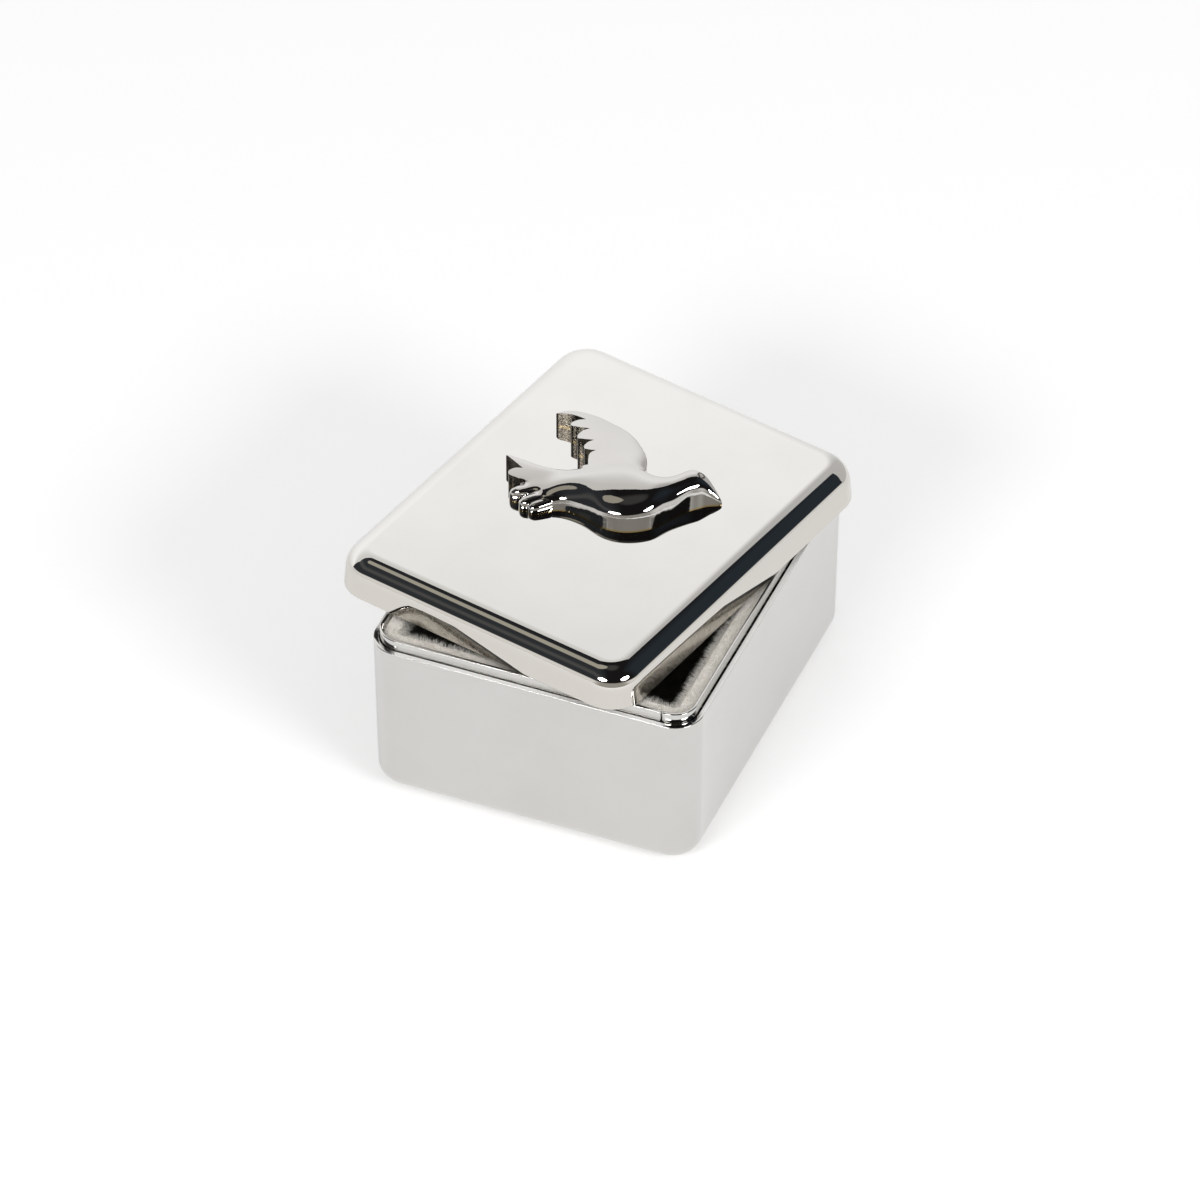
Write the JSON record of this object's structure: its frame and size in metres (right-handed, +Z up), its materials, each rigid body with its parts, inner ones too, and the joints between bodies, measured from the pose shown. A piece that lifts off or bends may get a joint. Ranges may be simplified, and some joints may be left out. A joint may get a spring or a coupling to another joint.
{
  "type": "keepsake box",
  "caption": "Small mirror-plated keepsake box with a velvet lining, a thin collar round its rim and a loose cap lid topped by a cast dove, lying askew on the collar.",
  "frame": {"origin": "centre of the felt's underside, on the surface that the box stands on", "axes": "+Z up; X along the box's width and Y along its depth, with the front of the box at -Y"},
  "size_m": [0.0728, 0.0827, 0.047],
  "materials": {
    "plated_metal": "mirror-polished silver plate",
    "velvet": "short grey-white pile",
    "lining_card": "plain grey card",
    "felt": "pressed black felt",
    "spring_steel": "bright spring sheet"
  },
  "bodies": {
    "base": {"box_shell": "plated_metal", "collar": "plated_metal", "wall_card": "lining_card", "wall_velvet": "velvet", "floor_card": "lining_card", "floor_velvet": "velvet", "base_felt": "felt"},
    "lid": {"lid_shell": "plated_metal", "lid_card": "lining_card", "lid_velvet": "velvet", "dove_clips": "spring_steel", "dove": "plated_metal"}
  },
  "joints": [
    {"name": "lid_lift", "type": "slide", "parent": "base", "child": "lid", "axis": [0, 0, 1], "range_m": [0, 0.06]}
  ]
}
